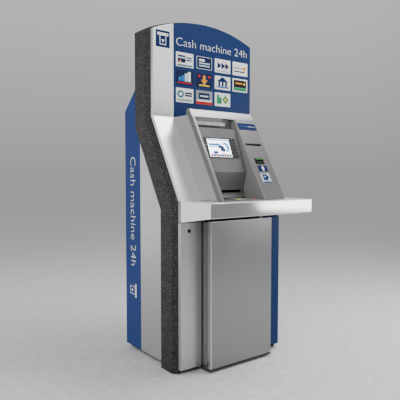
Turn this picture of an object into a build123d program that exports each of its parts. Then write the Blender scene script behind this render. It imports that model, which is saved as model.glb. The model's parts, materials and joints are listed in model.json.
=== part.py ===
from build123d import *
import math
import os

# Free-standing cash machine kiosk. Millimetres, +Z up, the user stands on the -Y side.
# Working frame: X to the user's right, y = 0 is the face of the lower front panels, z = 0 the floor.

# ---- overall outline -------------------------------------------------------------------
HALF_W = 410.0            # outer half width of the stone-look surround
PANEL_HALF = 387.5        # half width of the front panels
BAY_HALF = 243.0          # half width of the centre bay
FRONT_Y = 0.0             # face of the lower front panels
HEAD_Y = 281.0            # face of the header
REAR_Y = 616.0            # outside of the rear panel
FOLD_LOW = 983.0          # lower fold of the front, level with the shelf top
FOLD_HIGH = 1479.0        # upper fold of the front
ARCH_TOP = 2070.0         # crown of the header panel
ARCH_R = 978.5            # radius of the header panel's arch
SURROUND_RIM = 11.0       # surround showing above the arch
PANEL_DEPTH = 26.0        # depth of the tray-shaped front panels
SHEET = 2.0               # sheet thickness
PANEL_FOOT = 28.0         # lower edge of the side and front panels
REAR_TOP = 1532.0         # height of the rear panel
ROOF_TOP = 1685.0         # height where the roof meets the surround

# ---- surround section ------------------------------------------------------------------
SUR_INNER = 376.0         # inner face of the side surround
SUR_FRONT = 26.0          # front face, behind the panel face
SUR_REAR = 171.0          # rear face, behind the panel face
SUR_REAR_LOW = 927.0      # lower fold on the rear face
SUR_REAR_HIGH = 1419.0    # upper fold on the rear face
SUR_HEAD_REAR = 455.0     # rear face beside the header
SUR_CHAMFER = 33.0

# ---- shelf -----------------------------------------------------------------------------
SHELF_OUT = 266.5
SHELF_FRONT_H = 79.0
SHELF_REAR_H = 118.5
SHELF_SHEET = 3.0

# ---- base ------------------------------------------------------------------------------
BASE_TOP = 20.0
BASE_SHEET = 8.0
ANCHOR_X = 400.0
ANCHOR_Y = 400.0
ANCHOR_R = 8.0
ANCHOR_MID_Y = 310.0
FOOT_R = 24.0

# ---- cover door and service door ---------------------------------------------------------
DOOR_HALF = 239.0
DOOR_FACE = -84.0
DOOR_THICK = 28.0
DOOR_FOOT = 24.0
DOOR_TOP = 867.0          # just under the shelf, clear of it over the whole swing
DOOR_AXIS = (232.0, -48.0)
DOOR_PIN_R = 4.0
SERVICE_AXIS = (-250.0, 8.0)
SERVICE_PIN_R = 3.0
PIN_GAP = 0.08
LOCK_X = -331.0
LOCK_Z = 815.0
LOCK_R = 11.0

# ---- top box and fascia ------------------------------------------------------------------
BOX_OUT = 150.0           # front edge of the box cheeks, forward of the slanted front
BOX_SHEET = 2.5
BOX_REAR = 420.0
FASCIA_OUT = 187.0        # face of the fascia, forward of the slanted front
FASCIA_BACK = 150.6
FASCIA_HALF = 247.0
FASCIA_FOOT = 985.2
FASCIA_SKIN = 3.0
JAMB_REACH = 55.0          # the bay's left jamb stands this far forward, up to the cover door
HINGE_JAMB_REACH = 34.0    # the right one stays clear of the cover door's hinge
FASCIA_ROUND = 5.0         # rounding of the fascia's long front edges
HOOD_BREAK = 1470.0        # the hood leans back a little more than the face from here up
HOOD_SLOPE = 0.66
HOOD_KNEE = 1497.0
HOOD_TOP = 1515.0
HOOD_REAR = 146.0
HOOD_UNDER = 1480.5
RECESS_X0 = -225.0
RECESS_X1 = 75.0
RECESS_TOP = 1467.0
RECESS_BEVEL = 9.0         # bevel along the recess's right front corner
LINER = 3.0
CREASE = (-33.0, 1146.0)  # fold between the screen panel and the lower panel
SCREEN_SLOPE = 0.393      # rearward lean of the screen panel, mm per mm of height
SCREEN_PANEL_TOP = 1405.0
LOWER_WALL_Y = -8.0
LOWER_WALL_TOP = 1046.0
LAMP_WALL_Y = 112.0

# ---- display ---------------------------------------------------------------------------
BEZEL_X = (-221.0, 40.0)
BEZEL_Z = (1229.0, 1347.0)
BEZEL_THICK = 4.0
SCREEN_X = (-178.0, -12.0)
SCREEN_Z = (1234.0, 1341.0)
SIDE_KEY_X = (-205.0, 24.0)
SIDE_KEY_Z0 = 1249.0
SIDE_KEY_PITCH = 17.5
SIDE_KEY_W = 15.0
SIDE_KEY_H = 8.0
SIDE_KEY_TRAVEL = 1.5
KEY_GAP = 0.5

# ---- keypad ----------------------------------------------------------------------------
KEY_X0 = -100.0
KEY_PITCH_X = 38.0
KEY_Y0 = -152.0
KEY_PITCH_Y = 25.0
KEY_W = 33.0
KEY_D = 20.0
KEY_TOP = 993.5
KEY_TRAVEL = 2.0
PLATE_TOP = 988.4

# ---- cash outlet, card reader, receipt slot, labels ------------------------------------------
CASH_X = (-170.0, 52.0)
CASH_Z = (997.0, 1041.0)
SHUTTER_TOP = 1026.0
SHUTTER_TRAVEL = 30.0
TRAY_HIGH = (1.0, 1026.0)  # upper edge of the sloping tray below the notes' slot
TRAY_LOW = (-35.8, 996.8)  # its lower edge
TRAY_RIM = 4.0             # the side rims stand this much above the tray
CARD_X = (119.0, 187.0)
CARD_Z = (1194.5, 1230.5)
CARD_THROAT = (126.0, 180.0)
CARD_THROAT_Z = (1210.0, 1216.0)
RECEIPT_X = (96.0, 217.0)
RECEIPT_Z = (1307.0, 1314.0)

Y_MID = (REAR_Y - SHELF_OUT) / 2.0
SLOPE = HEAD_Y / (FOLD_HIGH - FOLD_LOW)


def face_y(out, z):
    """Y of the plane parallel to the slanted front, out mm forward of it, at height z."""
    return -out + SLOPE * (z - FOLD_LOW)


def screen_y(z, out=0.0):
    """Y of the screen panel's surface at height z, out mm in front of it."""
    lean = math.sqrt(1.0 + SCREEN_SLOPE ** 2)
    return CREASE[0] + SCREEN_SLOPE * (z - CREASE[1]) - out * lean


def box(x0, x1, y0, y1, z0, z1):
    mid = ((x0 + x1) / 2.0, (y0 + y1) / 2.0, (z0 + z1) / 2.0)
    return Pos(*mid) * Box(abs(x1 - x0), abs(y1 - y0), abs(z1 - z0))


def profile(points, x0, x1):
    """Extrude a closed outline of (y, z) points along X from x0 to x1."""
    face = Plane.YZ * make_face(Polyline(*points, close=True))
    solid = extrude(face, x1 - x0, dir=(1, 0, 0))
    return Pos(x0, 0, 0) * solid


def upright(x, y, z0, z1, r):
    return Pos(x, y, (z0 + z1) / 2.0) * Cylinder(r, z1 - z0)


def arch_z(x, rim=0.0):
    return ARCH_TOP - ARCH_R + math.sqrt((ARCH_R + rim) ** 2 - x * x)


def arched(x0, x1, z0, y0, y1, rim=0.0):
    """Upright plate from z0 to the arch, between x0 and x1 and between y0 and y1."""
    xm = (x0 + x1) / 2.0
    lines = [
        Line((x0, z0), (x1, z0)),
        Line((x1, z0), (x1, arch_z(x1, rim))),
        ThreePointArc((x1, arch_z(x1, rim)), (xm, arch_z(xm, rim)), (x0, arch_z(x0, rim))),
        Line((x0, arch_z(x0, rim)), (x0, z0)),
    ]
    face = make_face(lines)
    plate = extrude(face, y1 - y0, dir=(0, 0, 1))
    return Pos(0, y1, 0) * Rot(90, 0, 0) * plate


# ---- base ------------------------------------------------------------------------------
def base_frame():
    plate = box(-372, 372, 30, 598, BASE_TOP - BASE_SHEET, BASE_TOP)
    plate += box(-BAY_HALF, BAY_HALF, -78, 31, BASE_TOP - BASE_SHEET, BASE_TOP)
    skirt = box(-350, 350, 40, 580, 3, BASE_TOP - BASE_SHEET)
    skirt -= box(-330, 330, 60, 560, 0, 15)
    frame = plate + skirt
    frame -= box(-170, 170, 200, 420, 0, 40)
    for sx in (-1, 1):
        for sy in (-1, 1):
            x = sx * ANCHOR_X / 2
            y = ANCHOR_MID_Y + sy * ANCHOR_Y / 2
            frame -= upright(x, y, -1, 40, ANCHOR_R)
    return frame


def levelling_feet():
    feet = []
    for x in (-300, 300):
        for y in (95, 525):
            feet.append(upright(x, y, 0, 7, FOOT_R) + upright(x, y, 7, BASE_TOP - BASE_SHEET, 9))
    return Compound(feet)


# ---- surround --------------------------------------------------------------------------
def surround_side(sign):
    outline = [
        (SUR_FRONT, 0), (SUR_FRONT, FOLD_LOW), (HEAD_Y + SUR_FRONT, FOLD_HIGH),
        (HEAD_Y + SUR_FRONT, 2100), (SUR_HEAD_REAR, 2100), (SUR_HEAD_REAR, SUR_REAR_HIGH),
        (SUR_REAR, SUR_REAR_LOW), (SUR_REAR, 0),
    ]
    bar = profile(outline, -HALF_W, -SUR_INNER)
    corner = [e for e in bar.edges()
              if abs(e.center().X + HALF_W) < 0.1
              and e.length > 400
              and e.center().Y < SUR_FRONT + SLOPE * max(0.0, e.center().Z - FOLD_LOW) + 20
              and e.center().Y < HEAD_Y + SUR_FRONT + 1]
    bar = chamfer(corner, SUR_CHAMFER)
    keep = arched(-HALF_W, -SUR_INNER, -1, -20, 500, SURROUND_RIM)
    bar = bar & keep
    if sign > 0:
        bar = mirror(bar, Plane.YZ)
    return bar


def surround_arch():
    lip = arched(-SUR_INNER, SUR_INNER, 1900, HEAD_Y + SUR_FRONT, SUR_HEAD_REAR, SURROUND_RIM)
    lip -= arched(-SUR_INNER - 5, SUR_INNER + 5, 1800, HEAD_Y, 500, SURROUND_RIM - 40)
    front = [e for e in lip.edges().filter_by(GeomType.CIRCLE)
             if e.center().Y < HEAD_Y + SUR_FRONT + 1]
    top = max(front, key=lambda e: e.bounding_box().max.Z)
    return chamfer(top, 10)


# ---- body panels -----------------------------------------------------------------------
def side_panel(sign):
    gap = 2.0
    outline = [
        (SUR_REAR + gap, PANEL_FOOT), (REAR_Y, PANEL_FOOT), (REAR_Y, REAR_TOP),
        (SUR_HEAD_REAR + gap, ROOF_TOP), (SUR_HEAD_REAR + gap, SUR_REAR_HIGH),
        (SUR_REAR + gap, SUR_REAR_LOW),
    ]
    x0 = 390.0
    sheet = profile(outline, x0, x0 + SHEET)
    for y0, y1, z0, z1 in ((200, 220, 60, 880), (REAR_Y - 22, REAR_Y - 6, 60, 1480)):
        sheet += box(x0 - 12, x0, y0, y1, z0, z1)
    if sign < 0:
        sheet = mirror(sheet, Plane.YZ)
    return sheet


def rear_panel():
    panel = box(-388, 388, REAR_Y - SHEET, REAR_Y, PANEL_FOOT, REAR_TOP - 2)
    for z in [1300 + 22 * i for i in range(6)]:
        for x in (-190, 0, 190):
            panel -= box(x - 70, x + 70, REAR_Y - 5, REAR_Y + 1, z, z + 8)
    for z in [120 + 22 * i for i in range(5)]:
        for x in (-190, 190):
            panel -= box(x - 70, x + 70, REAR_Y - 5, REAR_Y + 1, z, z + 8)
    panel -= box(-24, 24, REAR_Y - 5, REAR_Y + 1, 96, 130)
    return panel


def roof_panel():
    drop = (ROOF_TOP - REAR_TOP) / (REAR_Y - SUR_HEAD_REAR)
    y0 = SUR_HEAD_REAR + 2
    z0 = ROOF_TOP
    y1 = REAR_Y
    z1 = z0 - drop * (y1 - y0)
    outline = [(y0, z0), (y1, z1), (y1, z1 - 3), (y0, z0 - 3)]
    return profile(outline, -389.5, 389.5)


def header_back():
    return arched(-SUR_INNER, SUR_INNER, ROOF_TOP - 30, 430, 432, SURROUND_RIM - 41)


def header_sign():
    x0 = -BAY_HALF
    x1 = PANEL_HALF
    outer = arched(x0, x1, FOLD_HIGH, HEAD_Y, HEAD_Y + PANEL_DEPTH)
    inner = arched(x0 + SHEET, x1 - SHEET, FOLD_HIGH + SHEET, HEAD_Y + SHEET, HEAD_Y + 40, -SHEET)
    return outer - inner


def header_strip():
    x0 = -PANEL_HALF
    x1 = -BAY_HALF - 8
    outer = arched(x0, x1, FOLD_HIGH, HEAD_Y, HEAD_Y + PANEL_DEPTH)
    inner = arched(x0 + SHEET, x1 - SHEET, FOLD_HIGH + SHEET, HEAD_Y + SHEET, HEAD_Y + 40, -SHEET)
    return outer - inner


def header_trim():
    return arched(-BAY_HALF - 8, -BAY_HALF, FOLD_HIGH, HEAD_Y - 1.0, HEAD_Y + 12)


def slant_panel(x0, x1):
    low = FOLD_LOW
    high = FOLD_HIGH
    outer = profile([(face_y(0, low), low), (face_y(0, high), high),
                     (face_y(-PANEL_DEPTH, high), high), (face_y(-PANEL_DEPTH, low), low)], x0, x1)
    a = low + SHEET
    b = high - SHEET
    inner = profile([(face_y(-SHEET, a), a), (face_y(-SHEET, b), b), (face_y(-60, b), b),
                     (face_y(-60, a), a)], x0 + SHEET, x1 - SHEET)
    return outer - inner


def front_panel_right():
    outer = box(BAY_HALF, PANEL_HALF, FRONT_Y, PANEL_DEPTH, PANEL_FOOT, 862)
    inner = box(BAY_HALF + SHEET, PANEL_HALF - SHEET, SHEET, 60, PANEL_FOOT + SHEET, 860)
    return outer - inner


# ---- frame round the safe bay --------------------------------------------------------------
def bay_frame():
    frame = box(-PANEL_HALF, PANEL_HALF, 1, PANEL_DEPTH, 866, 981)
    frame -= box(-PANEL_HALF + 20, PANEL_HALF - 20, 4, 40, 869, 978)
    for s in (-1, 1):
        post = box(s * 221, s * 237, 3, 56, BASE_TOP, 866)
        post -= box(s * 224, s * 234, 6, 60, BASE_TOP + 3, 860)
        frame += post
    for s, reach, low, top in ((-1, JAMB_REACH, BASE_TOP, 862), (1, HINGE_JAMB_REACH, 50, 850)):
        jamb = box(s * 221, s * 238, -reach, 3, low, top)
        jamb -= box(s * 224, s * 235, -reach + 3, 4, low + 3, top - 3)
        frame += jamb
    return frame


def hinge_pins():
    ax, ay = DOOR_AXIS
    arm = box(ax - 11, ax + 4.5, ay - 5.2, 3, 856, 861)
    upper = arm + upright(ax, ay, 842, 857, DOOR_PIN_R)
    lower = upright(ax, ay, BASE_TOP, 44, DOOR_PIN_R) + upright(ax, ay, BASE_TOP, 27, 7)
    sx, sy = SERVICE_AXIS
    top = upright(sx, sy, 852, 866, SERVICE_PIN_R)
    bottom = upright(sx, sy, BASE_TOP, 36, SERVICE_PIN_R) + upright(sx, sy, BASE_TOP, 27, 6)
    return Compound([upper, lower, top, bottom])


def shelf():
    front_z = FOLD_LOW - SHELF_FRONT_H
    rear_z = FOLD_LOW - SHELF_REAR_H
    y1 = -0.5
    outer = profile([(y1, FOLD_LOW), (-SHELF_OUT, FOLD_LOW), (-SHELF_OUT, front_z), (y1, rear_z)],
                    -PANEL_HALF, PANEL_HALF)
    rim = outer.edges().filter_by(Axis.X).group_by(Axis.Y)[0]
    outer = fillet(rim, 4)
    t = SHELF_SHEET
    inner = profile([(20, FOLD_LOW - t), (-SHELF_OUT + t, FOLD_LOW - t), (-SHELF_OUT + t, front_z + t),
                     (20, rear_z + t)], -PANEL_HALF + t, PANEL_HALF - t)
    tray = outer - inner
    for x in (-300, -100, 100, 300):
        tray += profile([(y1, FOLD_LOW - t), (-200, FOLD_LOW - t), (-200, 905), (y1, rear_z + t)],
                        x - 2, x + 2)
    return tray


# ---- safe and electronics ------------------------------------------------------------------
def safe_body():
    safe = box(-214, 214, 62, 570, BASE_TOP, 846)
    safe -= box(-200, 200, 0, 556, BASE_TOP + 14, 832)
    return safe


def safe_door():
    door = box(-199, 199, 62, 100, BASE_TOP + 15, 831)
    door += Pos(90, 46, 470) * Rot(90, 0, 0) * Cylinder(20, 34)
    door += box(86, 94, 28, 40, 410, 530)
    door += box(-130, -60, 56, 63, 430, 520)
    return door


def computer():
    unit = box(-200, 180, 70, 380, 868, 972)
    for x in [-180 + 24 * i for i in range(14)]:
        unit -= box(x, x + 10, 60, 74, 890, 950)
    return unit


def power_inlet():
    body = box(-23, 23, REAR_Y - 40, REAR_Y - SHEET, 97, 129)
    body += box(-23.5, 23.5, REAR_Y - 4, REAR_Y - 0.2, 96.5, 129.5)
    body -= box(-14, 14, REAR_Y - 18, REAR_Y + 1, 103, 123)
    for x in (-7, 0, 7):
        body += box(x - 1, x + 1, REAR_Y - 20, REAR_Y - 8, 109, 115)
    return body


# ---- top box -----------------------------------------------------------------------------
def top_box():
    low = FASCIA_FOOT
    high = FOLD_HIGH
    side = [(face_y(BOX_OUT, low), low), (BOX_REAR, low), (BOX_REAR, high), (face_y(BOX_OUT, high), high)]
    shell = profile(side, -BAY_HALF, BAY_HALF)
    t = BOX_SHEET
    inner = [(face_y(BOX_OUT + 90, low), low - 5), (BOX_REAR + 10, low - 5), (BOX_REAR + 10, high - t),
             (face_y(BOX_OUT + 90, high), high - t)]
    shell -= profile(inner, -BAY_HALF + t, BAY_HALF - t)
    floor = box(-BAY_HALF, BAY_HALF, 30, BOX_REAR, 981, 984)
    return Compound([shell, floor])


def rail_outer():
    rails = []
    for s in (-1, 1):
        x0 = s * 240.5
        x1 = s * 228.5
        web = box(x0, x1, 100, 410, 1080, 1120)
        web -= box(s * 238.0, s * 220.0, 90, 420, 1084, 1116)
        rails.append(web)
    return Compound(rails)


def rail_inner():
    rails = []
    for s in (-1, 1):
        bar = box(s * 229.2, s * 237.2, -108, 400, 1085, 1115)
        rails.append(bar + box(s * 237.2, s * 243.9, -108, -97, 1085, 1115))
    return Compound(rails)


# ---- fascia ------------------------------------------------------------------------------
def hood_outline(inset):
    """Outline of the fascia in (y, z), moved inwards by inset."""
    low = FASCIA_FOOT + inset
    front = FASCIA_OUT - inset
    back = face_y(FASCIA_BACK, HOOD_UNDER)
    break_y = face_y(front, HOOD_BREAK)
    knee_y = break_y + HOOD_SLOPE * (HOOD_KNEE - HOOD_BREAK)
    return [
        (face_y(front, low), low), (break_y, HOOD_BREAK), (knee_y, HOOD_KNEE),
        (118.0 + inset, HOOD_TOP - 1.5 - inset),
        (126.0, HOOD_TOP - inset), (136.0, HOOD_TOP - inset), (HOOD_REAR - inset, HOOD_TOP - 10 - inset),
        (HOOD_REAR - inset, HOOD_UNDER + inset), (back - inset, HOOD_UNDER + inset),
        (face_y(FASCIA_BACK + inset, low), low),
    ]


def fascia_shell():
    shell = profile(hood_outline(0.0), -FASCIA_HALF, FASCIA_HALF)
    ends = shell.edges().filter_by(lambda e: abs(abs(e.center().X) - FASCIA_HALF) < 0.01)
    long_edges = ends.filter_by(lambda e: e.center().Y < face_y(FASCIA_OUT, e.center().Z) + 4)
    shell = fillet(long_edges, FASCIA_ROUND)
    t = FASCIA_SKIN
    pocket = profile(hood_outline(t), -FASCIA_HALF + t, FASCIA_HALF - t)
    low = FASCIA_FOOT + t
    rear = profile([(face_y(FASCIA_BACK + t + 1, low), low),
                    (face_y(FASCIA_BACK + t + 1, 1477), 1477), (face_y(90, 1477), 1477),
                    (face_y(90, low), low)], -FASCIA_HALF + t, FASCIA_HALF - t)
    top = RECESS_TOP + LINER
    recess = profile([(face_y(260, 980), 980), (face_y(260, top), top),
                      (face_y(90, top), top), (face_y(90, 980), 980)],
                     RECESS_X0 - LINER, RECESS_X1 + RECESS_BEVEL)
    shell = shell - pocket - rear - recess
    cx0, cx1 = CARD_X
    shell -= box(cx0 + 3, cx1 - 3, -140, 60, CARD_Z[0] + 3, CARD_Z[1] - 3)
    rx0, rx1 = RECEIPT_X
    shell -= box(rx0 - 1, rx1 + 1, -80, 100, RECEIPT_Z[0] - 1, RECEIPT_Z[1] + 1)
    return shell


def recess_points():
    """Back wall of the recess from the keypad up to the lamp, as (y, z)."""
    return [
        (LOWER_WALL_Y, PLATE_TOP), (LOWER_WALL_Y, LOWER_WALL_TOP), (-11.0, 1070.0), (-17.5, 1096.0),
        (-25.0, 1121.0), CREASE, (screen_y(SCREEN_PANEL_TOP), SCREEN_PANEL_TOP),
        (LAMP_WALL_Y, SCREEN_PANEL_TOP + 3), (LAMP_WALL_Y, RECESS_TOP),
    ]


def recess_lip():
    """Bevelled bar that closes the recess's right front corner, flush with the fascia."""
    x0, x1, out = RECESS_X1, RECESS_X1 + RECESS_BEVEL, FASCIA_OUT
    bar = None
    for x, low, top in ((x0 + LINER, FASCIA_FOOT, PLATE_TOP), (x0, PLATE_TOP, RECESS_TOP + LINER)):
        piece = profile([(face_y(out, low), low), (face_y(out, top), top),
                         (face_y(out - RECESS_BEVEL, top), top), (face_y(out - RECESS_BEVEL, low), low)], x, x1)
        bar = piece if bar is None else bar + piece
    z = FASCIA_FOOT - 20
    corner = Polyline((x0 - 1, face_y(out - RECESS_BEVEL - 1, z)), (x1 + 1, face_y(out + 1, z)),
                      (x0 - 1, face_y(out + 1, z)), close=True)
    cut = extrude(Pos(0, 0, z) * make_face(corner), 640, dir=Vector(0, SLOPE, 1).normalized())
    return bar - cut


def recess_liner():
    wall = recess_points()
    front_low = (face_y(FASCIA_OUT, PLATE_TOP), PLATE_TOP)
    front_high = (face_y(FASCIA_OUT, RECESS_TOP), RECESS_TOP)
    t = LINER
    behind = [(y + t, z) for y, z in wall]
    behind[-1] = (LAMP_WALL_Y + t, RECESS_TOP + t)
    outer = [front_low] + behind + [(face_y(FASCIA_OUT, RECESS_TOP + t), RECESS_TOP + t)]
    inner = [(front_low[0] - 60, PLATE_TOP - 5), (wall[0][0], PLATE_TOP - 5)] + wall
    inner += [(front_high[0] - 60, RECESS_TOP)]
    liner = profile(outer, RECESS_X0 - t, RECESS_X1 + t)
    liner -= profile(inner, RECESS_X0, RECESS_X1)
    z0 = BEZEL_Z[0] + 3
    z1 = BEZEL_Z[1] - 3
    window = profile([(screen_y(z0, 20), z0), (screen_y(z1, 20), z1), (screen_y(z1, -20), z1),
                      (screen_y(z0, -20), z0)], BEZEL_X[0] + 3, BEZEL_X[1] - 3)
    liner -= window
    liner -= box(CASH_X[0] - 4, CASH_X[1] + 4, -30, 20, CASH_Z[0] - 4, CASH_Z[1] + 3)
    return liner + recess_lip()


def lamp_housing():
    x0 = RECESS_X0 + 2
    upper = box(x0, -20, 86, LAMP_WALL_Y, 1441, RECESS_TOP)
    lower = box(x0, -5, 79, LAMP_WALL_Y, 1421, 1441)
    return upper + lower


def leaned(x0, x1, z0, z1, back, front):
    """Block lying on the screen panel, from back to front mm in front of its surface."""
    points = [(screen_y(z0, back), z0), (screen_y(z1, back), z1), (screen_y(z1, front), z1),
              (screen_y(z0, front), z0)]
    return profile(points, x0, x1)


def display_bezel():
    bezel = leaned(BEZEL_X[0], BEZEL_X[1], BEZEL_Z[0], BEZEL_Z[1], 0, BEZEL_THICK)
    bezel -= leaned(SCREEN_X[0], SCREEN_X[1], SCREEN_Z[0], SCREEN_Z[1], -1, BEZEL_THICK + 1)
    g = KEY_GAP
    for kx, kz in side_keys():
        bezel -= leaned(kx - SIDE_KEY_W / 2 - g, kx + SIDE_KEY_W / 2 + g, kz - SIDE_KEY_H / 2 - 2.4 * g,
                        kz + SIDE_KEY_H / 2 + g, -1, BEZEL_THICK + 1)
    return bezel


def display_module():
    glass = leaned(SCREEN_X[0] + 0.2, SCREEN_X[1] - 0.2, SCREEN_Z[0] + 0.2, SCREEN_Z[1] - 0.2, -1, 2)
    body = leaned(SCREEN_X[0] - 6, SCREEN_X[1] + 6, SCREEN_Z[0] + 0.5, SCREEN_Z[1] - 0.5, -22, -0.2)
    return glass + body


def side_keys():
    places = []
    for x in SIDE_KEY_X:
        for i in range(4):
            places.append((x, SIDE_KEY_Z0 + SIDE_KEY_PITCH * i))
    return places


def side_key(kx, kz):
    cap = leaned(kx - SIDE_KEY_W / 2, kx + SIDE_KEY_W / 2, kz - SIDE_KEY_H / 2, kz + SIDE_KEY_H / 2,
                 0.6, BEZEL_THICK + 2.5)
    return cap


def key_grid():
    """Places of the keypad keys: the front row of four, then three rows of three."""
    places = []
    for row in range(4):
        for col in range(4 if row == 0 else 3):
            places.append((KEY_X0 + KEY_PITCH_X * col, KEY_Y0 + KEY_PITCH_Y * row))
    return places


def keypad_plate():
    plate = box(RECESS_X0 - LINER, RECESS_X1 + LINER, -183, -5, FASCIA_FOOT, PLATE_TOP)
    x1 = KEY_X0 + 3 * KEY_PITCH_X
    y1 = KEY_Y0 + 3 * KEY_PITCH_Y
    rim = box(KEY_X0 - 24, x1 + 24, KEY_Y0 - 16, y1 + 16, PLATE_TOP, PLATE_TOP + 2)
    plate += rim
    g = KEY_GAP
    for x, y in key_grid():
        plate -= box(x - KEY_W / 2 - g, x + KEY_W / 2 + g, y - KEY_D / 2 - g, y + KEY_D / 2 + g,
                     FASCIA_FOOT + 1, KEY_TOP)
    return plate


def keypad_key(x, y):
    cap = box(x - KEY_W / 2, x + KEY_W / 2, y - KEY_D / 2, y + KEY_D / 2, FASCIA_FOOT + 3.4, KEY_TOP)
    top = cap.faces().sort_by(Axis.Z)[-1]
    return chamfer(top.edges(), 1.2)


def cash_outlet():
    x0, x1 = CASH_X
    z0, z1 = CASH_Z
    frame = box(x0 - 8, x1 + 8, LOWER_WALL_Y - 6, LOWER_WALL_Y, z0 - 7, z1 + 4)
    frame += box(x0 - 3, x1 + 3, LOWER_WALL_Y, 14, z0 - 3, z1 + 2)
    frame -= box(x0, x1, -40, 40, z0, z1)
    frame -= box(x0 - 1.5, x1 + 1.5, 2.4, 7.6, z0 - 2, z1 + 9)
    return frame + cash_tray()


def cash_tray():
    """Sloping tray in front of the slot, with a rim on either side and a step at its foot."""
    x0, x1 = CASH_X
    back, top = TRAY_HIGH
    front, low = TRAY_LOW
    foot = [(front, low - 4), (front + 6, low - 4), (front + 6, PLATE_TOP)]
    floor = CASH_Z[0]
    inside = [(LOWER_WALL_Y, PLATE_TOP), (LOWER_WALL_Y, floor), (back, floor)]
    tray = profile(inside + [TRAY_HIGH, TRAY_LOW] + foot, x0, x1)
    face = LOWER_WALL_Y - 6
    rim_top = low + TRAY_RIM + (face - front) * (top - low) / (back - front)
    rim = [(face, PLATE_TOP), (face, rim_top), (front, low + TRAY_RIM)] + foot
    return tray + profile(rim, x0 - 8, x0) + profile(rim, x1, x1 + 8)


def cash_shutter():
    x0, x1 = CASH_X
    plate = box(x0 - 1.0, x1 + 1.0, 3, 7, CASH_Z[0] - 1, SHUTTER_TOP)
    return plate


def card_reader():
    x0, x1 = CARD_X
    z0, z1 = CARD_Z
    out = FASCIA_OUT
    bezel = profile([(face_y(out + 5, z0 + 2), z0 + 2), (face_y(out + 5, z1 - 3), z1 - 3),
                     (face_y(out, z1), z1), (face_y(out, z0), z0)], x0, x1)
    body = profile([(face_y(out + 1, z0 + 3.2), z0 + 3.2), (face_y(out + 1, z1 - 3.2), z1 - 3.2),
                    (90, z1 - 3.2), (90, z0 + 3.2)], x0 + 3.2, x1 - 3.2)
    reader = bezel + body
    t0, t1 = CARD_THROAT_Z
    reader -= box(CARD_THROAT[0] - 1, CARD_THROAT[1] + 1, -120, 40, t0, t1)
    return reader


def receipt_slot():
    x0, x1 = RECEIPT_X
    z0, z1 = RECEIPT_Z
    out = FASCIA_OUT
    bezel = profile([(face_y(out + 1.2, z0 - 6), z0 - 6), (face_y(out + 1.2, z1 + 6), z1 + 6),
                     (face_y(out, z1 + 6), z1 + 6), (face_y(out, z0 - 6), z0 - 6)], x0 - 6, x1 + 6)
    chute = profile([(face_y(out, z0 - 0.8), z0 - 0.8), (face_y(out, z1 + 0.8), z1 + 0.8),
                     (70, z1 + 0.8), (70, z0 - 0.8)], x0 - 0.8, x1 + 0.8)
    slot = bezel + chute
    slot -= box(x0 + 2, x1 - 2, -80, 80, z0, z1)
    return slot


def label(x0, x1, z0, z1, thick):
    out = FASCIA_OUT
    return profile([(face_y(out, z0), z0), (face_y(out, z1), z1), (face_y(out + thick, z1), z1),
                    (face_y(out + thick, z0), z0)], x0, x1)


def labels():
    plaque = label(88, 236, 1405, 1451, 1.2)
    arrow = label(120, 195, 1149, 1185, 0.8)
    info = label(118, 190, 1080, 1140, 0.8)
    return Compound([plaque, arrow, info])


# ---- doors and lock ------------------------------------------------------------------------
def cover_door():
    h = DOOR_HALF
    leaf = box(-h, h, DOOR_FACE, DOOR_FACE + DOOR_THICK, DOOR_FOOT, DOOR_TOP)
    front = leaf.faces().sort_by(Axis.Y)[0]
    leaf = chamfer(front.edges(), 5)
    y1 = DOOR_FACE + DOOR_THICK
    leaf -= box(-h + 3, h - 22, y1 - 24, y1 + 1, DOOR_FOOT + 3, DOOR_TOP - 3)
    ax, ay = DOOR_AXIS
    r = DOOR_PIN_R + PIN_GAP
    for z0, z1 in ((842, 854), (30, 42)):
        lug = box(ax - 9, ax + 6, y1 - 1, ay + 7, z0, z1)
        leaf += lug
        leaf -= upright(ax, ay, z0 - 3, z1 + 1, r)
    leaf += box(-h + 20, -h + 44, y1 - 24, y1 - 2, 400, 480)
    return leaf


def service_door():
    x0 = -PANEL_HALF
    x1 = -BAY_HALF - 1.0
    leaf = box(x0, x1, FRONT_Y, PANEL_DEPTH - 1, PANEL_FOOT + 1, 861)
    leaf -= box(x0 + SHEET, x1 + 5, SHEET, 60, PANEL_FOOT + 1 + SHEET, 859)
    sx, sy = SERVICE_AXIS
    leaf -= box(sx - 12, x1 + 5, sy + 5, 60, PANEL_FOOT - 5, 870)
    leaf -= upright(sx, sy, PANEL_FOOT - 10, 880, SERVICE_PIN_R + PIN_GAP)
    ring = Pos(LOCK_X, 0.5, LOCK_Z) * Rot(90, 0, 0) * Cylinder(LOCK_R + 3, 4)
    leaf += ring
    leaf -= Pos(LOCK_X, 10, LOCK_Z) * Rot(90, 0, 0) * Cylinder(LOCK_R + 0.3, 60)
    return leaf


def lock_cylinder():
    barrel = Pos(LOCK_X, 9, LOCK_Z) * Rot(90, 0, 0) * Cylinder(LOCK_R, 20)
    barrel -= box(LOCK_X - 1.2, LOCK_X + 1.2, -10, 3, LOCK_Z - 5, LOCK_Z + 5)
    barrel += box(LOCK_X - 36, LOCK_X + 6, 17, 21, LOCK_Z - 6, LOCK_Z + 6)
    return barrel


# ---- write the parts -------------------------------------------------------------------
def put(name, shape):
    export_step(Pos(0, -Y_MID, 0) * shape, f"parts/{name}.step")


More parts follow.
